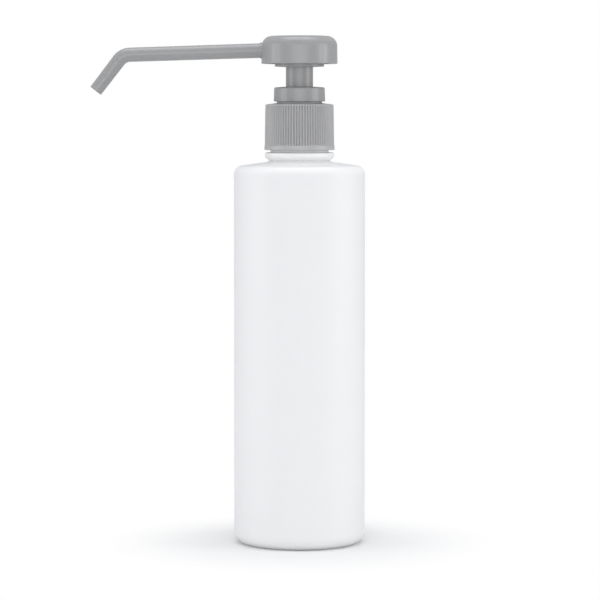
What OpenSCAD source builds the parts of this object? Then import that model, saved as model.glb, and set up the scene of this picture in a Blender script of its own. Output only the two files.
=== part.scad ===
// A round plastic bottle with a long-nozzle dispenser pump, in millimetres.
// Z points up, and the origin is the centre of the ring that the bottle stands on.

/* [Bottle] */
// Outside diameter of the body
body_d = 63; // [56:0.5:76]
// Height of the body, up to the rounded edge of the shoulder
body_h = 181.6; // [140:0.2:230]
// Thickness of the blown wall
wall = 1.1; // [0.8:0.05:1.6]
// Radius of the rounded edge between body and shoulder
shoulder_r = 4.2; // [3:0.1:7]
// Slope of the shoulder, in degrees
shoulder_slope = 8; // [4:0.5:14]
// Radius where the shoulder flares up into the neck
flare_r = 2.2; // [1.5:0.1:3]
// Radius of the rounded edge round the base
base_r = 6; // [3:0.1:8]
// Width of the flat ring that the bottle stands on
foot_w = 3.5; // [2:0.1:6]
// How far the middle of the base is pushed up
push_up = 2.5; // [1:0.1:5]

/* [Neck] */
// Diameter over the neck's thread
thread_d = 27.4; // [26.6:0.1:28.4]
// Depth of the thread
thread_depth = 1.15; // [0.8:0.05:1.3]
// Rise of the thread in one turn
thread_pitch = 4.23; // [3.8:0.01:5]
// Turns of thread
thread_turns = 1.5; // [1:0.25:1.75]
// Diameter of the neck's bore
neck_bore_d = 21.5; // [21:0.1:22.2]
// Height of the neck above its bead
finish_h = 18; // [17:0.1:24]
// Diameter of the plain collar at the foot of the neck
collar_d = 27.8; // [27:0.1:29]
// Height of the plain collar above the bead
collar_h = 3; // [2:0.1:4]
// Diameter of the bead round the neck
bead_d = 33.2; // [31:0.1:36]
// Height of the bead
bead_h = 3.5; // [2:0.1:5]
// Height of the slope under the bead
bead_slope_h = 1.4; // [0.6:0.1:1.6]
// Width of the slope under the bead
bead_slope_w = 1.5; // [0.6:0.1:1.6]
// Gap between the shoulder and the bead, at the neck
bead_gap = 0.8; // [0.5:0.1:3]

/* [Closure] */
// Thickness of the closure's skirt under its ribs
closure_wall = 1.8; // [1.4:0.1:2.6]
// How much the skirt's radius grows from its top to its foot
closure_draft = 0.3; // [0.1:0.05:0.6]
// Thickness of the closure's top
closure_top = 1.9; // [1.2:0.1:3]
// Rise of the closure's top from its edge to its raised ring
closure_rise = 0.7; // [0.2:0.1:1.2]
// Height of the plain band at the foot of the skirt
band_h = 2.2; // [1:0.1:4]
// How far the plain band stands out past the ribs
band_step = 0.2; // [0.1:0.05:0.5]
// Gap between the bead and the closure's foot
closure_gap = 1.2; // [0.6:0.1:1.8]
// Number of grip ribs
ribs = 78; // [48:1:96]
// Depth of the grip ribs
rib_depth = 0.35; // [0.2:0.05:0.5]
// Radius of the closure's upper edge
closure_edge_r = 0.6; // [0.3:0.1:1]

/* [Chaplet] */
// Diameter of the chaplet at its foot
chaplet_d = 24.6; // [24:0.1:26]
// How much the chaplet's radius shrinks from foot to top
chaplet_draft = 0.22; // [0:0.02:0.4]
// Height of the chaplet's skirt
chaplet_h = 6.7; // [5:0.1:10]
// Thickness of the chaplet's skirt
chaplet_wall = 1.3; // [0.8:0.1:1.5]
// Thickness of the chaplet's top
chaplet_top = 1.5; // [1:0.1:2.5]
// Height by which the chaplet's top is crowned
chaplet_crown = 0.35; // [0.1:0.05:0.6]
// Gap between the closure's top and the chaplet's skirt
chaplet_gap = 0.7; // [0.3:0.1:1.2]
// How deep the chaplet's sleeve reaches into the housing
sleeve_depth = 8.4; // [7:0.1:12]
// Outside diameter of the sleeve, which is the housing's upper bore
sleeve_d = 18; // [17.6:0.1:18.4]

/* [Stem and head] */
// Outside diameter of the stem
stem_d = 13; // [12:0.1:13.6]
// Thickness of the stem's wall
stem_wall = 1.3; // [1:0.1:1.6]
// Travel of the pump from its top to its lowest point
stroke = 9.4; // [6:0.1:14]
// Diameter of the head at the foot of its skirt
head_d = 36.3; // [33:0.1:42]
// Height of the head, from the foot of its skirt to its top
head_h = 13.5; // [12.5:0.1:16]
// How much the head's radius shrinks from the skirt's foot to its rounded edge
head_draft = 0.17; // [0:0.01:0.4]
// Radius of the head's rounded upper edge
head_edge_r = 4.9; // [3:0.1:6]
// Height by which the head's top is crowned
head_crown = 0.3; // [0.1:0.05:0.8]
// Thickness of the head's wall
head_wall = 1.5; // [1:0.1:2]
// Diameter of the ring under the head
lip_d = 23.6; // [22:0.1:25]
// How far the ring reaches below the head's skirt
lip_drop = 1.4; // [0.6:0.1:3]
// Depth of the socket that holds the stem
stem_socket = 4.8; // [3:0.1:5.4]

/* [Nozzle] */
// Outside diameter of the nozzle where it enters the head
nozzle_d = 7; // [6:0.1:7.4]
// Outside diameter of the nozzle just before its bend
nozzle_bend_d = 6.8; // [5.8:0.1:7.2]
// Outside diameter of the nozzle at its tip
nozzle_tip_d = 6.4; // [5.6:0.1:6.8]
// Diameter of the nozzle's bore
nozzle_bore_d = 4.4; // [3:0.1:4.6]
// Distance from the pump's axis to the corner of the bend
nozzle_reach = 84.2; // [50:0.2:110]
// Length of the leg, from the corner of the bend to the tip
nozzle_leg = 21.5; // [12:0.1:30]
// Slope of the long part below the level, in degrees
nozzle_droop = 1.8; // [0:0.1:4]
// Slope of the leg below the level, in degrees
leg_slope = 52.4; // [35:0.1:75]
// Radius of the bend at the middle of the tube
bend_r = 6.9; // [5:0.1:10]
// Height of the nozzle's axis above the foot of the head's skirt, at the pump's axis
nozzle_rise = 6.85; // [6.4:0.05:7.2]
// How deep the nozzle is pressed into the head
nozzle_socket = 9; // [5:0.1:9.4]
// How far the nozzle's socket stands out of the head's side
socket_out = 0.7; // [0.3:0.1:1.5]
// Thickness of the socket's rim round the nozzle
socket_rim = 0.35; // [0.3:0.05:1]

/* [Pump body] */
// Diameter of the pump's cylinder
cylinder_d = 15; // [14.8:0.05:15.2]
// Thickness of the housing's wall
housing_wall = 1.15; // [0.9:0.05:1.3]
// Diameter of the housing's flange
flange_d = 25; // [23.8:0.1:25]
// Thickness of the housing's flange
flange_t = 1.8; // [1.2:0.1:3]
// Thickness of the neck gasket
gasket_t = 1.2; // [0.8:0.1:2]
// Length of the spring at rest
spring_l = 24; // [20:0.5:36]
// Thickness of the spring's wire
wire_d = 0.9; // [0.6:0.05:1]
// Diameter of the spring at the middle of its wire
spring_d = 10.2; // [9.6:0.1:11]
// Free turns of the spring, without its closed ends
spring_turns = 7; // [4:1:10]
// Play of the piston on the plunger rod
piston_play = 1; // [0.4:0.1:2]
// Height of the piston's outer ring
piston_h = 6; // [4:0.1:8]
// Diameter of the suction ball
ball_d = 6.35; // [5:0.05:7]
// Travel of the suction ball
ball_lift = 1.6; // [0.8:0.1:3]
// Outside diameter of the dip tube
tube_d = 6; // [5:0.1:7]
// Thickness of the dip tube's wall
tube_wall = 0.9; // [0.5:0.1:1.2]
// Gap between the dip tube's lowest point and the bottle's floor
tube_gap = 3; // [1:0.5:8]

/* [Hidden] */
$fn = 96;

// Clearances between pieces that move on each other, at the radius
slide_gap = 0.08;
turn_gap = 0.2;
thread_gap = 0.25;
// Axial clearance between the flanks of the two threads
flank_gap = 0.2;
// Clearance between pieces that are pressed together, at the radius
press_gap = 0.03;
// Clearance between faces that only come together at a stop
stop_gap = 0.1;
// How far one shape is sunk into another of the same piece, so that they join
join = 0.4;

// Bottle
body_r = body_d / 2;
edge_c = [body_r - shoulder_r, body_h - shoulder_r];
foot_inner_r = body_r - base_r - foot_w;
neck_r = collar_d / 2;
neck_bore_r = neck_bore_d / 2;
root_r = thread_d / 2 - thread_depth;
bead_z = slope_z(shoulder_r, neck_r) + bead_gap;
bead_top_z = bead_z + bead_h;
land_z = bead_top_z + finish_h;
floor_z = push_up + wall;
inner_flare_r = flare_r;
rim_chamfer = 0.5;
bead_chamfer = 0.5;

// Thread, whose ridge is a trapezium
ridge_foot_w = 0.5 * thread_pitch;
ridge_crest_w = 0.2 * thread_pitch;
ridge_steps = 30;
ridge_run_in = 3;
thread_rise = thread_pitch * thread_turns;
thread_z = land_z - 1.2 - ridge_foot_w / 2 - thread_rise;
ridge_slope = (ridge_foot_w - ridge_crest_w) / 2 / (thread_depth + join);

// Closure
flange_z = land_z + gasket_t;
seat_z = flange_z + flange_t;
closure_bore_r = max(thread_d, collar_d) / 2 + thread_gap;
skirt_r = closure_bore_r + closure_wall;
closure_ridge_r = closure_bore_r - thread_depth;
// The closure's ridge lies under the neck's ridge, which holds it down
ridge_overlap = thread_d / 2 - closure_ridge_r;
closure_thread_z = thread_z - ridge_crest_w - ridge_slope * ridge_overlap - flank_gap;
closure_foot_z = bead_top_z + closure_gap;
closure_edge_z = seat_z + closure_top;
closure_crown_z = closure_edge_z + closure_rise;
sleeve_r = sleeve_d / 2;
sleeve_neck_r = sleeve_r + 0.3;
closure_hole_r = sleeve_neck_r + turn_gap;
ring_r = chaplet_d / 2 - chaplet_wall - turn_gap;
ring_top_z = closure_crown_z + chaplet_gap + 0.4;
rib_foot_z = closure_foot_z + band_h;
rib_top_z = closure_edge_z - closure_edge_r;

// Chaplet
chaplet_z = closure_crown_z + chaplet_gap;
chaplet_edge_z = chaplet_z + chaplet_h;
chaplet_crown_z = chaplet_edge_z + chaplet_crown;
sleeve_z = seat_z - sleeve_depth;
stem_r = stem_d / 2;
seal_r = stem_r + 1.6;
seal_t = 1.8;
snap_z = seat_z - 2.6;
snap_h = 1;
snap_depth = 0.25;

// Head and stem
lip_z = chaplet_crown_z + stop_gap + stroke;
head_z = lip_z + lip_drop;
head_top_z = head_z + head_h;
column_r = stem_r + 1.4;
stem_top_z = lip_z + stem_socket;
shoulder_z = sleeve_z - stop_gap;
stem_shoulder_r = cylinder_d / 2 - turn_gap;
stem_shoulder_h = 2;
stem_foot_z = shoulder_z - stem_shoulder_h - 2;
stem_bore_r = stem_r - stem_wall;

// Nozzle, whose own frame has Z along the tube and X upwards
nozzle_z = head_z + nozzle_rise;
nozzle_r = nozzle_d / 2;
nozzle_bore_r = nozzle_bore_d / 2;
bend_turn = leg_slope - nozzle_droop;
bend_back = bend_r * tan(bend_turn / 2);
straight_l = nozzle_reach / cos(nozzle_droop) - bend_back;
leg_l = nozzle_leg - bend_back;
// Step in the tube, inside and out, where the leg starts
leg_step = 0.06;
boss_r = nozzle_r + 1.2;
socket_end = head_d / 2 - nozzle_socket;
channel_r = nozzle_bore_r;

// Piston and plunger rod
cylinder_r = cylinder_d / 2;
piston_r = cylinder_r - slide_gap;
rod_r = 3.6;
rod_bore_r = 2.2;
piston_top_z = stem_foot_z - piston_play;
piston_sleeve_h = piston_h + 1.7;
piston_z = piston_top_z - piston_sleeve_h;
piston_ring_z = piston_z + 0.85;
piston_bore_r = rod_r + slide_gap;
relief_r = rod_r + 0.9;
relief_h = 2.4;
rod_flange_r = 5.9;
rod_flange_t = 2;
rod_flange_z = piston_z - 0.04;
rod_spigot_r = spring_d / 2 - wire_d / 2 - 0.3;
rod_spigot_h = 3;
rod_top_z = stem_foot_z + 7;
port_r = 0.9;

// Spring, ball and their seats
spring_top_z = rod_flange_z - rod_flange_t;
spring_z = spring_top_z - spring_l;
retainer_t = 1.6;
housing_floor_z = spring_z - retainer_t;
ball_r = ball_d / 2;
ball_z = housing_floor_z - stop_gap / 2 - ball_lift - ball_r;
chamber_r = ball_r + 1.2;
seat_apex_z = ball_z - (ball_r + press_gap) * sqrt(2);
passage_r = ball_r * 0.6;
passage_l = 2;
socket_z = seat_apex_z + passage_r - passage_l;
tube_r = tube_d / 2;
socket_l = 12;
step_z = sleeve_z - 1.2;
vent_z = stem_foot_z + 1.2;
tube_z = floor_z + tube_gap;
tube_cut = 30;

// Points along an arc about c, from angle a0 to angle a1
function arc(c, r, a0, a1, n = 8) = [for (i = [0:n]) c + r * [cos(a0 + (a1 - a0) * i / n), sin(a0 + (a1 - a0) * i / n)]];

function reverse(v) = [for (i = [len(v) - 1:-1:0]) v[i]];

// Height of the shoulder's sloping line at a radius; edge is shoulder_r outside, less the wall inside
function slope_z(edge, r) = edge_c[1] + edge * cos(shoulder_slope)
    + (edge_c[0] + edge * sin(shoulder_slope) - r) * tan(shoulder_slope);

// The shoulder from the body's side up to the neck: a rounded edge, a slope and a flare
function shoulder_line(edge, neck, flare) = concat(
    arc(edge_c, edge, 0, 90 - shoulder_slope),
    arc([neck + flare, slope_z(edge, neck + flare) + flare / cos(shoulder_slope)], flare, 270 - shoulder_slope, 180));

// The pushed-up middle of the base, a shallow dome from the axis to the standing ring
function push_up_line(z) = [for (i = [0:8]) [foot_inner_r * i / 8, z + push_up * (1 - pow(i / 8, 2))]];

// The base from the axis to the body's side
function base_line(z, edge) = concat(push_up_line(z), arc([body_r - base_r, base_r], edge, 270, 360));

// A helical ridge between a foot radius and a crest radius, which fades in and out at its ends
module ridge(foot_r, crest_r, z) {
    sides = 4;
    steps = ceil(thread_turns * ridge_steps);
    outward = crest_r > foot_r;
    section = function (r) [[foot_r, -ridge_foot_w / 2], [r, -ridge_crest_w / 2],
        [r, ridge_crest_w / 2], [foot_r, ridge_foot_w / 2]];
    fade = function (i) min(1, (i + 0.5) / ridge_run_in, (steps - i + 0.5) / ridge_run_in);
    wall_r = foot_r + (outward ? join : -join);
    points = [for (i = [0:steps]) let (a = 360 * thread_turns * i / steps,
        s = section(wall_r + (crest_r - wall_r) * fade(i)))
        for (p = s) [p[0] * cos(a), p[0] * sin(a), z + thread_rise * i / steps + p[1]]];
    walls = [for (i = [0:steps - 1], j = [0:sides - 1]) let (a = i * sides + j, b = i * sides + (j + 1) % sides)
        each [[a, b, b + sides], [a, b + sides, a + sides]]];
    last = steps * sides;
    ends = [[0, 3, 2, 1], [last, last + 1, last + 2, last + 3]];
    faces = concat(walls, ends);
    polyhedron(points, outward ? faces : [for (f = faces) reverse(f)]);
}

module bottle() {
    neck_top = [[neck_r, bead_top_z + collar_h], [root_r, bead_top_z + collar_h], [root_r, land_z - rim_chamfer],
        [root_r - rim_chamfer, land_z], [neck_bore_r, land_z]];
    outside = concat(base_line(0, base_r), shoulder_line(shoulder_r, neck_r, flare_r), neck_top);
    inside = concat(base_line(wall, base_r - wall), shoulder_line(shoulder_r - wall, neck_bore_r, inner_flare_r));
    color("white") {
        rotate_extrude() polygon(concat(outside, reverse(inside)));
        rotate_extrude() polygon([[neck_r - join, bead_z], [bead_d / 2 - bead_slope_w, bead_z],
            [bead_d / 2, bead_z + bead_slope_h], [bead_d / 2, bead_top_z - bead_chamfer],
            [bead_d / 2 - bead_chamfer, bead_top_z], [neck_r - join, bead_top_z]]);
        ridge(root_r - join, thread_d / 2, thread_z);
    }
}

// The closure's outline without its ribs
module closure_shell() {
    core_r = skirt_r - join / 2;
    edge_step = 0.05;
    rotate_extrude() polygon(concat(
        [[closure_bore_r, closure_foot_z],
            [skirt_r + rib_depth + closure_draft + band_step, closure_foot_z],
            [skirt_r + rib_depth + closure_draft + band_step, rib_foot_z],
            [core_r + closure_draft, rib_foot_z], [core_r, rib_top_z]],
        arc([skirt_r + rib_depth + edge_step - closure_edge_r, rib_top_z], closure_edge_r, 0, 90, 5),
        [[ring_r, closure_crown_z], [ring_r, ring_top_z], [closure_hole_r, ring_top_z],
            [closure_hole_r, seat_z], [closure_bore_r, seat_z]]));
}

// A ring of tapered grip ribs round the skirt
module grip_ribs() {
    top_r = skirt_r + rib_depth;
    foot_r = top_r + closure_draft;
    pitch = 360 / ribs;
    crest = 0.22 * pitch;
    valley = 0.4 * pitch;
    translate([0, 0, rib_foot_z - join / 2])
        linear_extrude(rib_top_z - rib_foot_z + join / 2, scale = top_r / foot_r)
            difference() {
                polygon([for (i = [0:ribs - 1], p = [[-valley, -rib_depth], [-crest, 0], [crest, 0], [valley, -rib_depth]])
                    (foot_r + p[1]) * [cos(i * pitch + p[0]), sin(i * pitch + p[0])]]);
                circle(closure_bore_r + closure_wall / 2);
            }
}

module closure() {
    color("darkgray") {
        closure_shell();
        grip_ribs();
        ridge(closure_bore_r + join, closure_ridge_r, closure_thread_z);
    }
}

module neck_gasket() {
    color("whitesmoke")
        translate([0, 0, land_z])
            difference() {
                cylinder(h = gasket_t, r = flange_d / 2 - 0.1);
                translate([0, 0, -1])
                    cylinder(h = gasket_t + 2, r = sleeve_r + housing_wall + slide_gap);
            }
}

module pump_housing() {
    bore_r = sleeve_r + press_gap;
    groove_r = bore_r + snap_depth;
    socket_r = tube_r + press_gap;
    color("gainsboro")
        difference() {
            rotate_extrude() polygon([
                [bore_r, seat_z], [flange_d / 2, seat_z], [flange_d / 2, flange_z],
                [sleeve_r + housing_wall, flange_z], [sleeve_r + housing_wall, step_z],
                [cylinder_r + housing_wall, step_z - 1], [cylinder_r + housing_wall, housing_floor_z - 1],
                [chamber_r + housing_wall, housing_floor_z - 1 - (cylinder_r - chamber_r)],
                [chamber_r + housing_wall, seat_apex_z + chamber_r - 1],
                [tube_r + housing_wall, socket_z], [tube_r + housing_wall, socket_z - socket_l],
                [socket_r, socket_z - socket_l], [socket_r, socket_z], [passage_r, socket_z],
                [passage_r, seat_apex_z + passage_r], [chamber_r, seat_apex_z + chamber_r],
                [chamber_r, housing_floor_z], [cylinder_r, housing_floor_z], [cylinder_r, step_z],
                [bore_r, step_z + bore_r - cylinder_r - 1], [bore_r, snap_z - snap_depth],
                [groove_r, snap_z], [groove_r, snap_z + snap_h], [bore_r, snap_z + snap_h + snap_depth]]);
            translate([0, 0, vent_z])
                rotate([0, 90, 0])
                    cylinder(h = body_r, r = 0.6);
        }
}

module chaplet() {
    foot_r = chaplet_d / 2;
    top_r = foot_r - chaplet_draft;
    hollow_r = foot_r - chaplet_wall;
    edge = 0.7;
    bore_r = stem_r + slide_gap;
    color("darkgray")
        rotate_extrude() polygon(concat(
            [[hollow_r, chaplet_z], [foot_r, chaplet_z]],
            arc([top_r - edge, chaplet_edge_z - edge], edge, 0, 90, 6),
            [[column_r, chaplet_crown_z], [bore_r, chaplet_crown_z], [bore_r, sleeve_z + seal_t],
                [seal_r, sleeve_z + seal_t], [seal_r, sleeve_z], [sleeve_r, sleeve_z],
                [sleeve_r, snap_z], [sleeve_r + snap_depth - press_gap, snap_z + snap_depth],
                [sleeve_r + snap_depth - press_gap, snap_z + snap_h - snap_depth], [sleeve_r, snap_z + snap_h],
                [sleeve_r, seat_z], [sleeve_neck_r, seat_z], [sleeve_neck_r, chaplet_edge_z - chaplet_top],
                [hollow_r, chaplet_edge_z - chaplet_top]]));
}

module stem_seal() {
    color("whitesmoke")
        rotate_extrude() polygon([[stem_r + slide_gap / 2, sleeve_z + 0.5], [stem_r + slide_gap / 2, sleeve_z + 1.1],
            [stem_r + 0.5, sleeve_z + seal_t], [seal_r - press_gap, sleeve_z + seal_t],
            [seal_r - press_gap, sleeve_z], [stem_r + 0.5, sleeve_z]]);
}

module stem() {
    color("darkgray")
        rotate_extrude() polygon([[stem_bore_r, stem_foot_z], [stem_r, stem_foot_z],
            [stem_r, shoulder_z - stem_shoulder_h], [stem_shoulder_r, shoulder_z - stem_shoulder_h + 0.4],
            [stem_shoulder_r, shoulder_z], [stem_r, shoulder_z], [stem_r, stem_top_z], [stem_bore_r, stem_top_z]]);
}

module plunger_rod() {
    spigot_z = spring_top_z - rod_spigot_h;
    plug_r = stem_bore_r - press_gap;
    color("gainsboro")
        difference() {
            rotate_extrude() polygon([[0, spigot_z], [rod_spigot_r - 0.6, spigot_z], [rod_spigot_r, spigot_z + 1],
                [rod_spigot_r, spring_top_z], [rod_flange_r, spring_top_z], [rod_flange_r, rod_flange_z],
                [rod_r, rod_flange_z], [rod_r, stem_foot_z], [plug_r, stem_foot_z], [plug_r, rod_top_z - 0.8],
                [plug_r - 0.8, rod_top_z], [rod_bore_r, rod_top_z], [rod_bore_r, rod_flange_z + 0.5], [0, rod_flange_z + 0.5]]);
            for (a = [0, 90])
                translate([0, 0, rod_flange_z + 0.5 + port_r])
                    rotate([0, 90, a])
                        cylinder(h = 2 * rod_r + 1, r = port_r, center = true);
        }
}

module piston() {
    sleeve_wall_r = relief_r + 0.7;
    lip = 0.9;
    web_z = piston_ring_z + piston_h / 2;
    color("whitesmoke")
        rotate_extrude() polygon([[relief_r, piston_z], [sleeve_wall_r, piston_z], [sleeve_wall_r, web_z - 0.7],
            [piston_r - lip, web_z - 0.7], [piston_r - lip / 2, piston_ring_z], [piston_r, piston_ring_z],
            [piston_r, piston_ring_z + 1], [piston_r - 0.25, piston_ring_z + 1.4],
            [piston_r - 0.25, piston_ring_z + piston_h - 1.4], [piston_r, piston_ring_z + piston_h - 1],
            [piston_r, piston_ring_z + piston_h], [piston_r - lip / 2, piston_ring_z + piston_h],
            [piston_r - lip, web_z + 0.7], [sleeve_wall_r, web_z + 0.7], [sleeve_wall_r, piston_top_z],
            [piston_bore_r, piston_top_z], [piston_bore_r, piston_z + relief_h + 0.6], [relief_r, piston_z + relief_h]]);
}

// Height of the spring's wire, which closes up at both ends; t runs from 0 to 1
function spring_height(t, turns) = let (dead = 1 / turns, free = (t - dead) / (1 - 2 * dead),
    low = wire_d / 2 + 0.02, high = spring_l - low)
    t < dead ? low + wire_d * t / dead
    : t > 1 - dead ? high - wire_d * (1 - t) / dead
    : low + wire_d + (high - low - 2 * wire_d) * free;

module spring() {
    turns = spring_turns + 2;
    steps = 20 * turns;
    sides = 8;
    points = [for (i = [0:steps]) let (t = i / steps, a = 360 * turns * t)
        for (j = [0:sides - 1]) let (b = 360 * j / sides, r = spring_d / 2 + wire_d / 2 * cos(b))
            [r * cos(a), r * sin(a), spring_z + spring_height(t, turns) + wire_d / 2 * sin(b)]];
    walls = [for (i = [0:steps - 1], j = [0:sides - 1]) let (a = i * sides + j, b = i * sides + (j + 1) % sides)
        each [[a, b, b + sides], [a, b + sides, a + sides]]];
    ends = [[for (j = [sides - 1:-1:0]) j], [for (j = [0:sides - 1]) steps * sides + j]];
    color("silver")
        polyhedron(points, concat(walls, ends));
}

module ball_retainer() {
    hole_r = chamber_r * 0.28;
    color("gainsboro")
        translate([0, 0, housing_floor_z])
            difference() {
                cylinder(h = retainer_t, r = cylinder_r - press_gap);
                for (a = [0:90:270])
                    rotate(a)
                        translate([chamber_r - hole_r - 0.2, 0, -1])
                            cylinder(h = retainer_t + 2, r = hole_r);
            }
}

module suction_ball() {
    color("silver")
        translate([0, 0, ball_z])
            sphere(ball_r);
}

module dip_tube() {
    tube_l = socket_z - tube_z;
    cut = 4 * tube_d;
    color("ghostwhite")
        difference() {
            translate([0, 0, tube_z])
                cylinder(h = tube_l, r = tube_r);
            translate([0, 0, tube_z - 1])
                cylinder(h = tube_l + 2, r = tube_r - tube_wall);
            translate([-tube_r, 0, tube_z])
                rotate([0, -tube_cut, 0])
                    translate([0, -cut / 2, -cut])
                        cube(cut);
        }
}

// Puts its children in the nozzle's own frame
module along_nozzle() {
    translate([0, 0, nozzle_z])
        rotate([0, -90 - nozzle_droop, 0])
            children();
}

// The head's outer shape, filled
module head_form() {
    edge_z = head_top_z - head_crown - head_edge_r;
    edge_x = head_d / 2 - head_draft;
    flat_r = edge_x - head_edge_r;
    rotate_extrude() polygon(concat([[0, head_z], [head_d / 2, head_z]],
        arc([flat_r, edge_z], head_edge_r, 0, 90, 8),
        [for (i = [2:-1:0]) [flat_r * i / 3, head_top_z - head_crown * pow(i / 3, 2)]]));
}

module head() {
    inner_top_z = head_top_z - head_crown - head_wall;
    inner_edge_r = head_edge_r - head_wall;
    inner_r = head_d / 2 - head_draft - head_wall;
    color("darkgray")
        difference() {
            union() {
                difference() {
                    head_form();
                    rotate_extrude() polygon(concat([[0, head_z - 1], [inner_r, head_z - 1]],
                        arc([inner_r - inner_edge_r, inner_top_z - inner_edge_r], inner_edge_r, 0, 90, 4),
                        [[0, inner_top_z]]));
                }
                rotate_extrude() polygon([[lip_d / 2 - head_wall, lip_z], [lip_d / 2, lip_z],
                    [lip_d / 2, inner_top_z + join], [lip_d / 2 - head_wall, inner_top_z + join]]);
                translate([0, 0, lip_z + 0.3])
                    cylinder(h = inner_top_z + join - lip_z - 0.3, r = column_r);
                intersection() {
                    head_form();
                    along_nozzle() cylinder(h = head_d, r = boss_r);
                }
                along_nozzle() translate([0, 0, head_d / 2 - head_wall])
                    cylinder(h = head_wall + socket_out, r = nozzle_r + socket_rim);
            }
            translate([0, 0, lip_z - 1])
                cylinder(h = stem_socket + 1, r = stem_r + press_gap);
            translate([0, 0, lip_z])
                cylinder(h = nozzle_z - lip_z, r = stem_bore_r - 1);
            along_nozzle() cylinder(h = head_d, r = channel_r);
            along_nozzle() translate([0, 0, socket_end]) cylinder(h = head_d, r = nozzle_r + press_gap);
        }
}

// The nozzle's bend as a solid of one radius, which starts at the end of the straight part
module bend(r) {
    translate([-bend_r, 0, straight_l])
        rotate([90, 0, 0])
            rotate_extrude(angle = bend_turn)
                translate([bend_r, 0])
                    circle(r);
}

// Puts its children at the start of the leg, with Z along it
module along_leg() {
    translate([bend_r * (cos(bend_turn) - 1), 0, straight_l + bend_r * sin(bend_turn)])
        rotate([0, -bend_turn, 0])
            translate([0, 0, -leg_step])
                children();
}

module nozzle() {
    bend_tube_r = nozzle_bend_d / 2;
    color("darkgray")
        along_nozzle() difference() {
            union() {
                rotate_extrude() polygon([[0, socket_end + press_gap], [nozzle_r, socket_end + press_gap],
                    [nozzle_r, head_d / 2], [bend_tube_r, straight_l], [0, straight_l]]);
                bend(bend_tube_r);
                along_leg() cylinder(h = leg_l + leg_step, r1 = bend_tube_r - leg_step, r2 = nozzle_tip_d / 2);
            }
            cylinder(h = straight_l, r = nozzle_bore_r);
            bend(nozzle_bore_r - leg_step);
            along_leg() cylinder(h = leg_l + 1, r = nozzle_bore_r);
        }
}

bottle();
closure();
neck_gasket();
pump_housing();
chaplet();
stem_seal();
stem();
plunger_rod();
piston();
spring();
ball_retainer();
suction_ball();
dip_tube();
head();
nozzle();
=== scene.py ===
"""Dresses a round pump bottle: a blow-moulded bottle and a long-nozzle dispenser pump, in a pale studio.

Every piece is an outline turned about a straight or bent axis, or a section carried along a helix, worked out
with numpy. Sizes are in millimetres in the classes below and become metres when a mesh is made.
"""

import logging
import math
from dataclasses import dataclass
from enum import Enum
from typing import Callable, Optional, Sequence

import bpy
import numpy as np
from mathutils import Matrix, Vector


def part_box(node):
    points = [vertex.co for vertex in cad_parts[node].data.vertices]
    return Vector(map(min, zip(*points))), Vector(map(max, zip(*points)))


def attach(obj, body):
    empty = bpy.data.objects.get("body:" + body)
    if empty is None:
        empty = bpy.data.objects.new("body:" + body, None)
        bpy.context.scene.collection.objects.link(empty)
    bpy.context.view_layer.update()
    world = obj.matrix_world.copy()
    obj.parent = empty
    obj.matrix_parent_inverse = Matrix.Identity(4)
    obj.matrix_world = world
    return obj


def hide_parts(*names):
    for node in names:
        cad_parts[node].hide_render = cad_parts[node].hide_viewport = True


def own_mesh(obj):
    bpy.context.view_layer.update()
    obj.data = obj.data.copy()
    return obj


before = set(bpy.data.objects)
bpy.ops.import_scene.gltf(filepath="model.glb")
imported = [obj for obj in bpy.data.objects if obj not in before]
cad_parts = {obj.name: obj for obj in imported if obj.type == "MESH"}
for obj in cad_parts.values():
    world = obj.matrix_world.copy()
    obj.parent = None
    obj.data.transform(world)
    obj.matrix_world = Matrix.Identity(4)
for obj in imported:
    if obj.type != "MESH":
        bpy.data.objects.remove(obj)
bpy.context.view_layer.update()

LOG = logging.getLogger("pump_bottle")
MM = 0.001
FULL_TURN = 2 * math.pi
# How far the faces of a pressed or seated joint stay apart, in millimetres
PRESS_GAP = 0.03

Corner = tuple[float, float, float]
Shape = Callable[[np.ndarray, np.ndarray, np.ndarray], np.ndarray]
Frames = tuple[np.ndarray, np.ndarray, np.ndarray]
Patch = tuple[np.ndarray, list[np.ndarray]]


class Body(Enum):
    """The rigid bodies that pieces ride on."""

    BOTTLE = "bottle"
    PUMP = "pump_body"
    CLOSURE = "closure"
    BALL = "valve_ball"
    SPRING = "spring_turn"
    PLUNGER = "plunger"
    PISTON = "piston"


class Slot(Enum):
    """The record's material slots."""

    BOTTLE = "bottle_white"
    PUMP = "pump_grey"
    NATURAL = "natural_plastic"
    SOFT = "gasket_white"
    STEEL = "spring_steel"


# Outlines and surfaces


def heights(node: str) -> tuple[float, float]:
    """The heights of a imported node's foot and top, in millimetres."""
    low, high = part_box(node)
    return low.z / MM, high.z / MM


def arc(centre: Sequence[float], radius: float, start: float, end: float, steps: int = 10) -> np.ndarray:
    """Points on a circle: the centre plus the radius times the cosine and sine of evenly spaced angles.

    Args:
        centre: The circle's centre as (r, z).
        radius: The circle's radius.
        start: The first angle in degrees.
        end: The last angle in degrees.
        steps: How many chords the arc has.

    Returns:
        The points, one (r, z) row each.
    """
    angle = np.radians(np.linspace(start, end, steps + 1))
    return np.asarray(centre) + radius * np.column_stack([np.cos(angle), np.sin(angle)])


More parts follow.
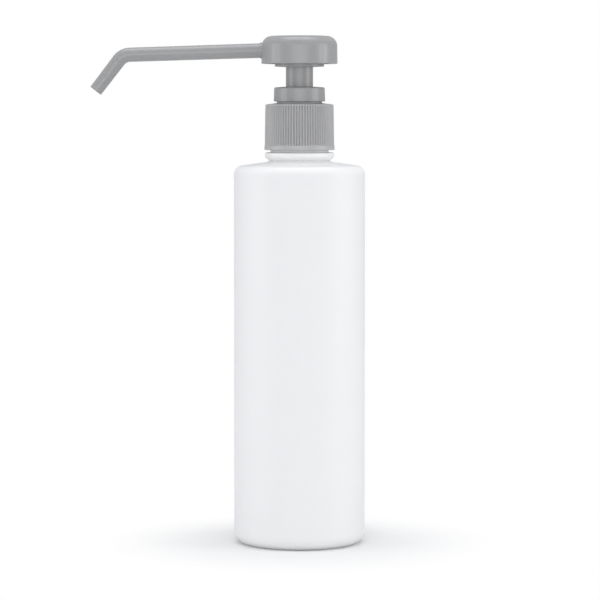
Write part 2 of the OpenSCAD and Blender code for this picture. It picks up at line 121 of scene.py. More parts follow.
def rounded(corners: Sequence[Corner], closed: bool = True, step: float = 9.0, guard: float = 0.25) -> np.ndarray:
    """An outline with rounded corners.

    A corner of half angle h and radius f touches its two sides at f / tan(h) from the corner, round a centre on
    the bisector at f / sin(h). The arc turns evenly from one touching point to the other. Each straight side gets
    a point just inside both of its ends, which keeps the shading of long sides flat.

    Args:
        corners: Each corner as (r, z, radius). The ends of an open outline aren't rounded.
        closed: Whether the last corner joins the first.
        step: The largest turn of one chord of an arc, in degrees.
        guard: How far the extra points lie from a side's ends, where the side is long enough.

    Returns:
        The points, one (r, z) row each.
    """
    points = np.array([c[:2] for c in corners], float)
    radii = np.array([c[2] for c in corners], float)
    pieces = []
    for i, (corner, radius) in enumerate(zip(points, radii)):
        at_end = not closed and i in (0, len(points) - 1)
        if radius <= 0 or at_end:
            pieces.append(corner[None])
            continue
        back = points[i - 1] - corner
        ahead = points[(i + 1) % len(points)] - corner
        back, ahead = back / np.linalg.norm(back), ahead / np.linalg.norm(ahead)
        half = math.acos(float(np.clip(back @ ahead, -1, 1))) / 2
        bisector = (back + ahead) / np.linalg.norm(back + ahead)
        centre = corner + bisector * radius / math.sin(half)
        turn = math.pi - 2 * half
        first = corner + back * radius / math.tan(half) - centre
        last = corner + ahead * radius / math.tan(half) - centre
        t = np.linspace(0, 1, max(2, math.ceil(math.degrees(turn) / step)) + 1)[:, None]
        pieces.append(centre + (np.sin((1 - t) * turn) * first + np.sin(t * turn) * last) / math.sin(turn))
    joined = []
    count = len(pieces) if closed else len(pieces) - 1
    for i in range(count):
        a, b = pieces[i][-1], pieces[(i + 1) % len(pieces)][0]
        length = np.linalg.norm(b - a)
        joined.append(pieces[i])
        if length > 4 * guard:
            joined.append(np.array([a + (b - a) * guard / length, b - (b - a) * guard / length]))
    if not closed:
        joined.append(pieces[-1])
    return np.concatenate(joined)


def straight_axis(s: np.ndarray) -> Frames:
    """The vertical axis: places (0, 0, s), with the first side direction along X and the second along Y."""
    one, zero = np.ones_like(s), np.zeros_like(s)
    return (np.stack([zero, zero, s], -1), np.stack([one, zero, zero], -1), np.stack([zero, one, zero], -1))


def grid_faces(rows: int, columns: int, close_rows: bool) -> np.ndarray:
    """Quads between neighbouring rows and columns of a grid that is closed round its columns.

    Args:
        rows: Number of rows of vertices.
        columns: Number of vertices in each row.
        close_rows: Whether the last row joins the first.

    Returns:
        One row of four vertex indices for each quad.
    """
    i = np.arange(rows if close_rows else rows - 1)[:, None]
    j = np.arange(columns)[None, :]
    after_i, after_j = (i + 1) % rows, (j + 1) % columns
    quads = np.stack([i * columns + j, i * columns + after_j, after_i * columns + after_j, after_i * columns + j], -1)
    return quads.reshape(-1, 4)


def outward(points: np.ndarray, faces: list[np.ndarray]) -> Patch:
    """Turns all faces over if the closed surface's signed volume, the sum of a . (b x c) / 6, is negative.

    Args:
        points: The vertices.
        faces: Arrays of triangles or quads.

    Returns:
        The vertices and the faces, which point outwards.
    """
    volume = 0.0
    for group in faces:
        for k in range(1, group.shape[1] - 1):
            a, b, c = points[group[:, 0]], points[group[:, k]], points[group[:, k + 1]]
            volume += float(np.einsum("ij,ij->", a, np.cross(b, c))) / 6
    return (points, [g[:, ::-1] for g in faces]) if volume < 0 else (points, faces)


def revolved(
    outline: np.ndarray,
    columns: int = 96,
    shape: Optional[Shape] = None,
    axis: Callable[[np.ndarray], Frames] = straight_axis,
) -> Patch:
    """An outline (r, s) turned about an axis, as the place on the axis at s plus r (cos a U + sin a V).

    An outline whose first and last points lie on the axis is closed there by fans round a single vertex.

    Args:
        outline: The outline's points as (r, s) rows.
        columns: How many steps go round the axis.
        shape: Optional change of the radius, as a function of r, s and the angle.
        axis: Gives the place and the two side directions at each s.

    Returns:
        The vertices and the faces.
    """
    angle = FULL_TURN * np.arange(columns) / columns
    poles = outline[0, 0] == 0 and outline[-1, 0] == 0
    ring = outline[1:-1] if poles else outline
    r, a = np.meshgrid(ring[:, 0], angle, indexing="ij")
    s = np.broadcast_to(ring[:, 1:], r.shape)
    if shape is not None:
        r = shape(r, s, a)
    place, u, v = axis(s)
    points = place + r[..., None] * (np.cos(a)[..., None] * u + np.sin(a)[..., None] * v)
    points = points.reshape(-1, 3)
    faces = [grid_faces(len(ring), columns, close_rows=not poles)]
    if poles:
        ends = axis(outline[[0, -1], 1])[0]
        count = len(points)
        points = np.concatenate([points, ends])
        j, k = np.arange(columns), (np.arange(columns) + 1) % columns
        last = (len(ring) - 1) * columns
        faces.append(np.stack([np.full(columns, count), k, j], -1))
        faces.append(np.stack([np.full(columns, count + 1), last + j, last + k], -1))
    return outward(points, faces)


def helix(
    radius: float,
    height: Callable[[np.ndarray], np.ndarray],
    section: Callable[[np.ndarray], np.ndarray],
    turns: float,
    per_turn: int,
) -> Patch:
    """A section carried along a helix: at turn t its (r, z) is added to the helix's radius and height.

    Args:
        radius: The helix's radius.
        height: The helix's height at each turn.
        section: The closed section at each turn, as an array of (turn, point, 2).
        turns: Length of the helix in turns.
        per_turn: Steps in one turn.

    Returns:
        The vertices and the faces, with both ends closed by a fan.
    """
    t = np.linspace(0, turns, math.ceil(turns * per_turn) + 1)
    cut = section(t)
    r = radius + cut[..., 0]
    z = height(t)[:, None] + cut[..., 1]
    a = (FULL_TURN * t)[:, None]
    points = np.stack([r * np.cos(a), r * np.sin(a), z], -1)
    middles = points[[0, -1]].mean(axis=1)
    rows, columns = r.shape
    points = np.concatenate([points.reshape(-1, 3), middles])
    j, k = np.arange(columns), (np.arange(columns) + 1) % columns
    first, last = rows * columns, (rows - 1) * columns
    foot = np.stack([np.full(columns, first), k, j], -1)
    head = np.stack([np.full(columns, first + 1), last + j, last + k], -1)
    return outward(points, [grid_faces(rows, columns, close_rows=False), foot, head])


def make_piece(
    name: str, patches: Sequence[Patch], body: Body, material: bpy.types.Material, node: str
) -> bpy.types.Object:
    """Makes one smooth-shaded object from closed patches, and puts it in the place of its node.

    Args:
        name: The object's name.
        patches: Closed surfaces in millimetres.
        body: The body that the piece rides on.
        material: Its material.
        node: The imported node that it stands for.

    Returns:
        The new object.
    """
    points, faces, offset = [], [], 0
    for vertices, groups in patches:
        points.append(vertices)
        for group in groups:
            faces.extend((group + offset).tolist())
        offset += len(vertices)
    mesh = bpy.data.meshes.new(name)
    mesh.from_pydata((np.concatenate(points) * MM).tolist(), [], faces)
    mesh.polygons.foreach_set("use_smooth", np.ones(len(mesh.polygons), bool))
    mesh.materials.append(material)
    mesh.validate()
    mesh.update()
    piece = bpy.data.objects.new(name, mesh)
    bpy.context.scene.collection.objects.link(piece)
    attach(piece, body.value)
    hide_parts(node)
    LOG.info("%s: %d faces on %s", name, len(mesh.polygons), body.value)
    return piece


# Finishes


def linear(colour: str) -> tuple[float, float, float, float]:
    """The linear value of an sRGB hex colour, by the sRGB curve, with an alpha of one."""
    channels = [int(colour[i : i + 2], 16) / 255 for i in (1, 3, 5)]
    red, green, blue = [c / 12.92 if c <= 0.04045 else ((c + 0.055) / 1.055) ** 2.4 for c in channels]
    return red, green, blue, 1.0


def add_node(tree: bpy.types.NodeTree, kind: str, links: Optional[dict] = None, **settings) -> bpy.types.Node:
    """Adds a shader node with its settings and links.

    Args:
        tree: The node tree.
        kind: The node's type name, without the ShaderNode that all of them start with.
        links: For each input, by name or number, a value, a socket, or a node whose first output in use it gets.
        **settings: Attributes of the node itself.

    Returns:
        The node.
    """
    node = tree.nodes.new("ShaderNode" + kind)
    for key, value in settings.items():
        setattr(node, key, value)
    for key, value in (links or {}).items():
        if isinstance(value, bpy.types.Node):
            value = next(output for output in value.outputs if output.enabled)
        if isinstance(value, bpy.types.NodeSocket):
            tree.links.new(value, node.inputs[key])
        else:
            node.inputs[key].default_value = value
    return node


def new_material(name: str) -> tuple[bpy.types.Material, bpy.types.NodeTree, bpy.types.NodeSocket]:
    """Makes an empty material, and returns it with its tree and the Object coordinates there."""
    material = bpy.data.materials.new(name)
    material.use_nodes = True
    tree = material.node_tree
    tree.nodes.clear()
    return material, tree, add_node(tree, "TexCoord").outputs["Object"]


@dataclass(frozen=True)
class Moulded:
    """A moulded plastic surface.

    Attributes:
        name: The material's real name.
        colour: Its main sRGB colour.
        shade: The sRGB colour of its slightly duller streaks.
        roughness: Mean roughness.
        roughness_spread: How much the roughness changes from place to place.
        ior: Index of refraction.
        grain_mm: Width of the fine grain that the mould leaves.
        grain_depth_mm: Depth of that grain.
        wave_mm: Width of the long waves of the wall.
        wave_depth_mm: Depth of those waves.
        scatter: Weight of the light that goes under the surface.
        scatter_mm: How far that light goes.
        seam_mm: Width of the mould's parting line, or 0 for none.
    """

    name: str
    colour: str
    shade: str
    roughness: float
    roughness_spread: float
    ior: float
    grain_mm: float
    grain_depth_mm: float
    wave_mm: float
    wave_depth_mm: float
    scatter: float = 0.0
    scatter_mm: float = 1.0
    seam_mm: float = 0.0

    def build(self) -> bpy.types.Material:
        """Makes the material: two noises for colour and roughness, two for bump, and the parting line."""
        material, tree, where = new_material(self.name)
        wave = add_node(tree, "TexNoise", {"Vector": where, "Scale": 1 / (self.wave_mm * MM), "Detail": 2.0})
        grain = add_node(tree, "TexNoise", {"Vector": where, "Scale": 1 / (self.grain_mm * MM), "Detail": 3.0})
        colours = {"Factor": wave, "A": linear(self.colour), "B": linear(self.shade)}
        colour = add_node(tree, "Mix", colours, data_type="RGBA")
        roughness = add_node(
            tree, "MapRange",
            {"Value": grain, "From Min": 0.3, "From Max": 0.7,
             "To Min": self.roughness - self.roughness_spread, "To Max": self.roughness + self.roughness_spread},
        )
        waves = add_node(tree, "Bump", {"Height": wave, "Distance": self.wave_depth_mm * MM, "Strength": 1.0})
        bump = add_node(
            tree, "Bump",
            {"Height": grain, "Distance": self.grain_depth_mm * MM, "Strength": 1.0, "Normal": waves},
        )
        if self.seam_mm:
            bump = self.add_seam(tree, where, bump)
        shader = add_node(
            tree, "BsdfPrincipled",
            {"Base Color": colour, "Roughness": roughness, "IOR": self.ior, "Normal": bump,
             "Subsurface Weight": self.scatter, "Subsurface Scale": self.scatter_mm * MM,
             "Subsurface Radius": (1.0, 1.0, 1.0)},
        )
        add_node(tree, "OutputMaterial", {"Surface": shader})
        return material

    def add_seam(
        self, tree: bpy.types.NodeTree, where: bpy.types.NodeSocket, below: bpy.types.Node
    ) -> bpy.types.Node:
        """Adds the fine raised line that the mould's two halves leave where Y is 0.

        Args:
            tree: The material's tree.
            where: The Object coordinates.
            below: The bump node that the line is added to.

        Returns:
            The bump node with the line.
        """
        across = add_node(tree, "SeparateXYZ", {"Vector": where}).outputs["Y"]
        distance = add_node(tree, "Math", {0: across}, operation="ABSOLUTE")
        line = add_node(
            tree, "MapRange",
            {"Value": distance, "From Min": 0.0, "From Max": self.seam_mm * MM, "To Min": 1.0, "To Max": 0.0},
            interpolation_type="SMOOTHSTEP",
        )
        return add_node(
            tree, "Bump", {"Height": line, "Distance": self.seam_mm * MM / 4, "Strength": 1.0, "Normal": below}
        )


@dataclass(frozen=True)
class Drawn:
    """A drawn or rolled stainless steel surface with fine level lines.

    Attributes:
        name: The material's real name.
        colour: Its sRGB colour.
        roughness: Mean roughness.
        line_mm: Spacing of the drawing lines.
        line_depth_mm: Their depth.
        spread: Share by which the roughness changes along them.
    """

    name: str
    colour: str
    roughness: float
    line_mm: float
    line_depth_mm: float = 0.002
    spread: float = 0.3

    def build(self) -> bpy.types.Material:
        """Makes the metal, whose roughness and bump follow one stretched noise."""
        material, tree, where = new_material(self.name)
        placed = add_node(tree, "Mapping", {"Vector": where, "Scale": (0.2, 0.2, 1.0)})
        lines = add_node(tree, "TexNoise", {"Vector": placed, "Scale": 1 / (self.line_mm * MM), "Detail": 2.0})
        low, high = self.roughness * (1 - self.spread), self.roughness * (1 + self.spread)
        roughness = add_node(tree, "MapRange", {"Value": lines, "To Min": low, "To Max": high})
        bump = add_node(tree, "Bump", {"Height": lines, "Distance": self.line_depth_mm * MM, "Strength": 1.0})
        shader = add_node(
            tree, "BsdfPrincipled",
            {"Base Color": linear(self.colour), "Metallic": 1.0, "Roughness": roughness, "Normal": bump},
        )
        add_node(tree, "OutputMaterial", {"Surface": shader})
        return material


@dataclass(frozen=True)
class Finishes:
    """All finishes of the pack, each made once."""

    # Blow-moulded white polyethylene: satin, a little light under the skin, soft waves in the wall
    bottle: bpy.types.Material
    # The closure's grey polypropylene, a shade paler than the pump's
    closure: bpy.types.Material
    # Injection-moulded grey polypropylene with a fine spark-eroded grain
    pump: bpy.types.Material
    # Unpigmented polypropylene of the pump's inner mouldings
    natural: bpy.types.Material
    # Soft white polyethylene of the gasket, the seal and the piston
    soft: bpy.types.Material
    # Drawn stainless spring wire and the rolled ball
    steel: bpy.types.Material

    @classmethod
    def make(cls) -> "Finishes":
        """Builds every material. The two greys share all but colour and mean roughness."""
        grey = {
            "roughness_spread": 0.04, "ior": 1.49, "grain_mm": 0.22, "grain_depth_mm": 0.006, "wave_mm": 9.0,
            "wave_depth_mm": 0.01, "scatter": 0.03, "scatter_mm": 0.4,
        }
        return cls(
            bottle=Moulded(
                "blow_moulded_white_hdpe", "#EEEEEE", "#ECECEC", roughness=0.48, roughness_spread=0.03, ior=1.5,
                grain_mm=0.5, grain_depth_mm=0.004, wave_mm=22.0, wave_depth_mm=0.1, scatter=0.3, scatter_mm=1.2,
                seam_mm=0.25,
            ).build(),
            closure=Moulded("ribbed_grey_polypropylene", "#B0B0B0", "#ADADAD", roughness=0.3, **grey).build(),
            pump=Moulded(
                "injection_moulded_grey_polypropylene", "#9B9B9B", "#989898", roughness=0.28, **grey
            ).build(),
            natural=Moulded(
                "natural_polypropylene", "#E2E4E1", "#DADDD9", roughness=0.34, roughness_spread=0.03, ior=1.49,
                grain_mm=0.3, grain_depth_mm=0.004, wave_mm=8.0, wave_depth_mm=0.02, scatter=0.3, scatter_mm=2.0,
            ).build(),
            soft=Moulded(
                "soft_low_density_polyethylene", "#ECECE8", "#E6E6E1", roughness=0.5, roughness_spread=0.04,
                ior=1.51, grain_mm=0.3, grain_depth_mm=0.006, wave_mm=6.0, wave_depth_mm=0.02, scatter=0.2,
                scatter_mm=1.5,
            ).build(),
            steel=Drawn("drawn_stainless_steel", "#B9BABC", roughness=0.22, line_mm=0.08).build(),
        )


# The pack's pieces


@dataclass(frozen=True)
class Thread:
    """The thread that the neck and the closure share. Its ridge's half width is a share of the pitch."""

    pitch: float = 4.23
    turns: float = 1.5
    half_width: float = 0.25
    fullness: float = 1.45
    fade: float = 0.1
    least: float = 0.02
    root: float = 0.4
    points: int = 13
    steps_per_turn: int = 72

    def build(self, radius: float, depth: float, low: float) -> Patch:
        """A rounded ridge along a helix.

        Across its width u from -1 to 1 the ridge stands out by depth times the lesser of 1 and fullness times
        cos(90 u). It grows from almost nothing over the first and the last fade of a turn.

        Args:
            radius: Radius of the wall that carries the ridge.
            depth: How far the ridge stands out, or in where it is negative.
            low: Height of the ridge's middle where it starts.

        Returns:
            The ridge as one closed patch, whose back lies inside the wall.
        """
        across = np.linspace(-1, 1, self.points)
        width = self.pitch * self.half_width
        rise = np.clip(self.fullness * np.cos(across * math.pi / 2), 0, 1)
        ridge = np.column_stack([depth * rise, across * width])
        back = -math.copysign(self.root, depth)

        def section(t: np.ndarray) -> np.ndarray:
            """The ridge's closed section at each turn."""
            fade = np.clip(np.minimum(t, self.turns - t) / self.fade, self.least, 1)[:, None]
            height = ridge[None, :, 0] * fade
            points = np.stack([height, np.broadcast_to(ridge[:, 1], height.shape)], -1)
            inner = np.broadcast_to([[back, width], [back, -width]], (len(t), 2, 2))
            return np.concatenate([points, inner], axis=1)

        return helix(radius, lambda t: low + self.pitch * t, section, self.turns, self.steps_per_turn)


@dataclass
class Bottle:
    """The blow-moulded bottle, one wall from its pushed-up base to its threaded neck."""

    body_r: float = 31.5
    wall: float = 1.1
    base_r: float = 6.0
    foot_r: float = 22.0
    foot_edge_r: float = 4.0
    dome_gap: float = 1.5
    push_up: float = 2.5
    edge_r: float = 4.2
    edge_z: float = 181.6
    slope: float = 8.0
    flare_r: float = 2.2
    neck_r: float = 13.9
    bead_r: float = 16.6
    bead_drop: float = 18.0
    bead_h: float = 3.5
    bead_slope_h: float = 1.4
    bead_slope_w: float = 1.5
    collar_h: float = 3.0
    root_r: float = 12.55
    bore_r: float = 10.75
    thread: Thread = Thread()
    thread_r: float = 13.7
    thread_top: float = 1.2
    waist: float = 0.12
    waist_z: float = 120.0
    waist_h: float = 60.0
    columns: int = 240

    def slope_z(self, edge: float, r: float) -> float:
        """Height of the shoulder's straight slope at radius r, for a rounded edge of the given radius."""
        tilt = math.radians(self.slope)
        reach = self.body_r - self.edge_r + edge * math.sin(tilt)
        return self.edge_z - self.edge_r + edge * math.cos(tilt) + (reach - r) * math.tan(tilt)

    def dome(self, z: float, outer: float) -> np.ndarray:
        """The pushed-up base: z + push_up (1 - (r / foot_r)^2), from the axis to radius outer."""
        r = np.linspace(0, outer, 12)
        return np.column_stack([r, z + self.push_up * (1 - (r / self.foot_r) ** 2)])

    def skin(self, z: float, side: float, edge: float, base: float, neck: float) -> np.ndarray:
        """One skin of the wall, from the axis at the base up to the neck's foot.

        Args:
            z: Height of the standing ring on this skin.
            side: Radius of the body's side.
            edge: Radius of the rounded shoulder edge.
            base: Radius of the rounded base edge.
            neck: Radius of the neck.

        Returns:
            The outline's points.
        """
        touch = neck + self.flare_r
        tilt = math.radians(self.slope)
        touch_r = touch - self.flare_r * math.sin(tilt)
        centre = (touch, self.slope_z(edge, touch) + self.flare_r / math.cos(tilt))
        start = arc(centre, self.flare_r, 270 - self.slope, 270 - self.slope, 1)[0]
        dome = self.dome(z, self.foot_r - self.dome_gap)
        body = rounded(
            [(*dome[-1], 0), (self.foot_r, z, self.foot_edge_r), (side, z, base),
             (side, self.slope_z(edge, side), edge), (touch_r, float(start[1]), 0)],
            closed=False, step=5.0,
        )
        flare = arc(centre, self.flare_r, 270 - self.slope, 184, 8)
        return np.concatenate([dome[:-1], body[:-1], flare])

    def outline(self) -> np.ndarray:
        """The wall's whole outline, up the outside, over the rim and down the inside."""
        rim = heights("bottle")[1]
        bead_top = rim - self.bead_drop
        bead_z = bead_top - self.bead_h
        outside = self.skin(0.0, self.body_r, self.edge_r, self.base_r, self.neck_r)
        outside = outside[outside[:, 1] < bead_z - 0.05]
        inside = self.skin(
            self.wall, self.body_r - self.wall, self.edge_r - self.wall, self.base_r - self.wall, self.bore_r
        )
        under = (float(outside[-1, 0]), bead_z, 0.0)
        neck = rounded(
            [under, (self.bead_r - self.bead_slope_w, bead_z, 0.5), (self.bead_r, bead_z + self.bead_slope_h, 0.8),
             (self.bead_r, bead_top, 0.8), (self.neck_r, bead_top, 0.4),
             (self.neck_r, bead_top + self.collar_h, 0.35), (self.root_r, bead_top + self.collar_h, 0.3),
             (self.root_r, rim, 0.6), (self.bore_r, rim, 0.3), (self.bore_r, float(inside[-1, 1]), 0)],
            closed=False,
        )
        return np.concatenate([outside, neck[:-1], inside[::-1]])

    def narrow(self, r: np.ndarray, s: np.ndarray, a: np.ndarray) -> np.ndarray:
        """Draws the side in as it cooled, by waist t t (3 - 2 t), with t from 0 at waist_z to 1 over waist_h."""
        t = np.clip((s - self.waist_z) / self.waist_h, 0, 1)
        return r - self.waist * t * t * (3 - 2 * t) * (r > self.body_r - 2 * self.wall)

    def ridge(self) -> Patch:
        """The neck's thread."""
        thread, top = self.thread, heights("bottle")[1] - self.thread_top
        low = top - thread.pitch * (thread.turns + thread.half_width)
        return thread.build(self.root_r, self.thread_r - self.root_r, low)

    def build(self, finishes: Finishes) -> None:
        """Makes the bottle."""
        wall = revolved(self.outline(), self.columns, self.narrow)
        make_piece("white_bottle", [wall, self.ridge()], Body.BOTTLE, finishes.bottle, "bottle")


@dataclass
class Closure:
    """The screw closure: a ribbed skirt over a plain band, with a raised ring on top."""

    ribs: int = 78
    rib_depth: float = 0.8
    groove_power: float = 1.2
    foot_fade: float = 0.5
    top_fade: float = 0.7
    top_plain: float = 0.2
    skirt_r: float = 16.3
    draft: float = 0.3
    band_r: float = 16.8
    band_h: float = 2.2
    edge_r: float = 0.7
    bore_r: float = 14.15
    ring_r: float = 10.8
    hole_r: float = 9.5
    ring_h: float = 1.1
    rise: float = 0.7
    top: float = 1.9
    thread: Thread = Thread()
    thread_depth: float = 1.15
    thread_rise: float = 6.864
    steps_per_rib: int = 12

    def outline(self) -> np.ndarray:
        """The closed outline of skirt, band, top and ring, at the ribs' crests."""
        foot, top = heights("closure")
        band_z = foot + self.band_h
        crown_z = top - self.ring_h
        edge_z = crown_z - self.rise
        seat_z = edge_z - self.top
        # Rows for the grooves' fade at either end
        levels = [band_z + h for h in (0.15, 0.35, 0.6, 0.9)]
        levels += [edge_z - self.edge_r - h for h in (0.9, 0.55, 0.25, 0.0)]
        grow = self.draft / (edge_z - band_z)
        crest = [(self.skirt_r + (edge_z - z) * grow, z, 0.0) for z in levels]
        return rounded(
            [(self.bore_r, foot, 0.3), (self.band_r, foot, 0.25), (self.band_r - 0.05, band_z, 0.3),
             (self.skirt_r + self.draft, band_z, 0.0), *crest, (self.skirt_r, edge_z, self.edge_r),
             (self.ring_r, crown_z, 0.3), (self.ring_r, top, 0.25), (self.hole_r, top, 0.25),
             (self.hole_r, seat_z, 0.15), (self.bore_r, seat_z, 0.4)],
        )

    def grooved(self, r: np.ndarray, s: np.ndarray, a: np.ndarray) -> np.ndarray:
        """Cuts the grooves: r less rib_depth times ((1 - cos(ribs a)) / 2)^groove_power, faded at both ends."""
        foot, top = heights("closure")
        band_z = foot + self.band_h
        edge_z = top - self.ring_h - self.rise
        on_skirt = (r > self.skirt_r - 0.01) & (s > band_z + 0.01) & (s < edge_z - 0.02)
        fade_in = np.clip((s - band_z) / self.foot_fade, 0, 1)
        fade_out = np.clip((edge_z - s - self.top_plain) / self.top_fade, 0, 1)
        groove = ((1 - np.cos(self.ribs * a)) / 2) ** self.groove_power
        return r - self.rib_depth * groove * np.minimum(fade_in, fade_out) * on_skirt

    def ridge(self) -> Patch:
        """The closure's own thread, which lies under the neck's."""
        return self.thread.build(self.bore_r, -self.thread_depth, heights("closure")[0] + self.thread_rise)

    def build(self, finishes: Finishes) -> None:
        """Makes the closure."""
        skirt = revolved(self.outline(), self.ribs * self.steps_per_rib, self.grooved)
        make_piece("ribbed_closure", [skirt, self.ridge()], Body.CLOSURE, finishes.closure, "closure")


@dataclass
class PumpBody:
    """What stays with the housing: chaplet, gasket, stem seal and dip tube."""

    chaplet_r: float = 12.3
    chaplet_draft: float = 0.22
    chaplet_wall: float = 1.3
    chaplet_h: float = 6.7
    crown: float = 0.35
    crown_r: float = 7.9
    chaplet_top: float = 1.5
    sleeve_r: float = 9.0
    sleeve_neck_r: float = 9.3
    sleeve_bore: float = 6.58
    seal_r: float = 8.1
    seal_t: float = 1.8
    seal_root_r: float = 7.0
    lip_r: float = 6.54
    gasket_gap: float = 1.23
    seat_drop: float = 10.35
    snap_drop: float = 12.95
    snap_out: float = 0.22
    tube_r: float = 3.0
    tube_wall: float = 0.9
    tube_cut: float = 30.0
    slant_h: float = 6.0

    def chaplet(self) -> Patch:
        """The chaplet's crowned top, skirt and guide sleeve."""
        foot, top = heights("chaplet")
        edge_z = top - self.crown
        skirt_z = edge_z - self.chaplet_h
        seat_z = top - self.seat_drop
        snap_z = top - self.snap_drop
        hollow = self.chaplet_r - self.chaplet_wall
        snap_r = self.sleeve_r + self.snap_out
        return revolved(rounded(
            [(hollow, skirt_z, 0.25), (self.chaplet_r, skirt_z, 0.25),
             (self.chaplet_r - self.chaplet_draft, edge_z, 0.7), (self.crown_r, top, 1.5),
             (self.sleeve_bore, top, 0.2), (self.sleeve_bore, foot + self.seal_t, 0.0),
             (self.seal_r, foot + self.seal_t, 0.0), (self.seal_r, foot, 0.1), (self.sleeve_r, foot, 0.3),
             (self.sleeve_r, snap_z, 0.1), (snap_r, snap_z + 0.25, 0.08), (snap_r, snap_z + 0.75, 0.08),
             (self.sleeve_r, snap_z + 1, 0.1), (self.sleeve_r, seat_z, 0.0), (self.sleeve_neck_r, seat_z, 0.05),
             (self.sleeve_neck_r, edge_z - self.chaplet_top, 0.3), (hollow, edge_z - self.chaplet_top, 0.3)],
            step=6.0,
        ), 160)

    def gasket(self) -> Patch:
        """The flat neck gasket with softened edges."""
        foot, top = heights("neck_gasket")
        inner, outer = self.sleeve_r + self.gasket_gap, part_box("neck_gasket")[1].x / MM
        return revolved(rounded([(inner, foot, 0.2), (outer, foot, 0.25), (outer, top, 0.25), (inner, top, 0.2)]), 96)

    def seal(self) -> Patch:
        """The stem seal, a ring with two slopes to a narrow lip."""
        foot, top = heights("stem_seal")
        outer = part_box("stem_seal")[1].x / MM
        return revolved(rounded(
            [(self.lip_r, foot + 0.5, 0.1), (self.seal_root_r, foot, 0.1), (outer, foot, 0.15), (outer, top, 0.15),
             (self.seal_root_r, top, 0.1), (self.lip_r, foot + 1.1, 0.1)],
        ), 96)

    def tube(self) -> Patch:
        """The dip tube, cut at a slant: at its foot each point rises by x times the slant's tangent."""
        foot, top = heights("dip_tube")
        inner = self.tube_r - self.tube_wall
        rise = math.tan(math.radians(self.tube_cut))
        cut_z = foot + self.tube_r * rise

        def slanted(s: np.ndarray) -> Frames:
            """The vertical axis, whose first side direction climbs over the tube's lowest part."""
            place, u, v = straight_axis(s)
            u[..., 2] = rise * np.clip(1 - (s - cut_z) / self.slant_h, 0, 1)
            return place, u, v

        levels = np.linspace(cut_z + 0.6, cut_z + 7.0, 8)
        side = [(self.tube_r, z, 0.0) for z in levels]
        back = [(inner, z, 0.0) for z in levels[::-1]]
        foot_edge = [(inner, cut_z, 0.1), (self.tube_r, cut_z, 0.1)]
        top_edge = [(self.tube_r, top, 0.2), (inner, top, 0.2)]
        return revolved(rounded([*foot_edge, *side, *top_edge, *back]), 64, axis=slanted)

    def build(self, finishes: Finishes) -> None:
        """Makes the pieces of the pump's body."""
        make_piece("chaplet_collar", [self.chaplet()], Body.PUMP, finishes.pump, "chaplet")
        make_piece("flat_gasket", [self.gasket()], Body.PUMP, finishes.soft, "neck_gasket")
        make_piece("lip_seal", [self.seal()], Body.PUMP, finishes.natural, "stem_seal")
        make_piece("cut_dip_tube", [self.tube()], Body.PUMP, finishes.natural, "dip_tube")


@dataclass
class Plunger:
    """The stem and the push-down head."""

    stem_r: float = 6.5
    stem_bore: float = 5.2
    shoulder_r: float = 7.3
    shoulder_z: float = 4.0
    shoulder_drop: float = 2.0
    head_r: float = 18.15
    head_draft: float = 0.17
    edge_r: float = 4.9
    crown: float = 0.3
    wall: float = 1.5
    lip_r: float = 11.8
    lip_drop: float = 1.4
    column_r: float = 7.9
    column_lift: float = 0.3
    channel_r: float = 4.2
    socket_l: float = 4.8
    root: float = 0.4

    def stem(self) -> Patch:
        """The stem with its stop shoulder near the foot."""
        foot, top = heights("stem")
        shoulder = foot + self.shoulder_z
        sole = shoulder - self.shoulder_drop
        return revolved(rounded(
            [(self.stem_bore, foot, 0.2), (self.stem_r, foot, 0.25), (self.stem_r, sole, 0.1),
             (self.shoulder_r, sole + 0.4, 0.15), (self.shoulder_r, shoulder, 0.15),
             (self.stem_r, shoulder, 0.1), (self.stem_r, top, 0.25), (self.stem_bore, top, 0.2)],
        ), 128)

    def shell(self) -> Patch:
        """The head's cap: a crown of top - crown (r / flat)^2, a large rounded edge and a drafted side."""
        lip, top = heights("head")
        side = self.head_r - self.head_draft
        flat = side - self.edge_r
        foot = lip + self.lip_drop
        inner_top = top - self.crown - self.wall
        r = np.linspace(0, flat - 1.5, 10)
        crown = np.column_stack([r, top - self.crown * (r / flat) ** 2])
        outside = rounded(
            [(*crown[-1], 0), (side + 0.03, top - self.crown - 0.02, self.edge_r), (self.head_r, foot, 0.3),
             (self.head_r - self.wall, foot, 0.3), (side - self.wall, inner_top, self.edge_r - self.wall),
             (0.0, inner_top, 0)],
            closed=False, step=5.0,
        )
        return revolved(np.concatenate([crown[:-1], outside]), 224)

    def underside(self) -> list[Patch]:
        """The ring and the stem's column under the head."""
        lip, top = heights("head")
        under = top - self.crown - self.wall + self.root
        foot = lip + self.column_lift
        socket_r, socket_z = self.stem_r + PRESS_GAP, lip + self.socket_l
        ring = rounded(
            [(self.lip_r - self.wall, lip, 0.4), (self.lip_r, lip, 0.4), (self.lip_r, under, 0),
             (self.lip_r - self.wall, under, 0)],
        )
        column = rounded(
            [(socket_r, foot, 0.4), (self.column_r, foot, 0.3), (self.column_r, under, 0),
             (self.channel_r, under, 0), (self.channel_r, socket_z, 0), (socket_r, socket_z, 0)],
        )
        return [revolved(ring, 160), revolved(column, 128)]

    def build(self, nozzle: "Nozzle", finishes: Finishes) -> None:
        """Makes the stem and the head, which takes the nozzle's socket."""
        make_piece("guide_stem", [self.stem()], Body.PLUNGER, finishes.pump, "stem")
        patches = [self.shell(), *self.underside(), nozzle.socket()]
        make_piece("press_head", patches, Body.PLUNGER, finishes.pump, "head")


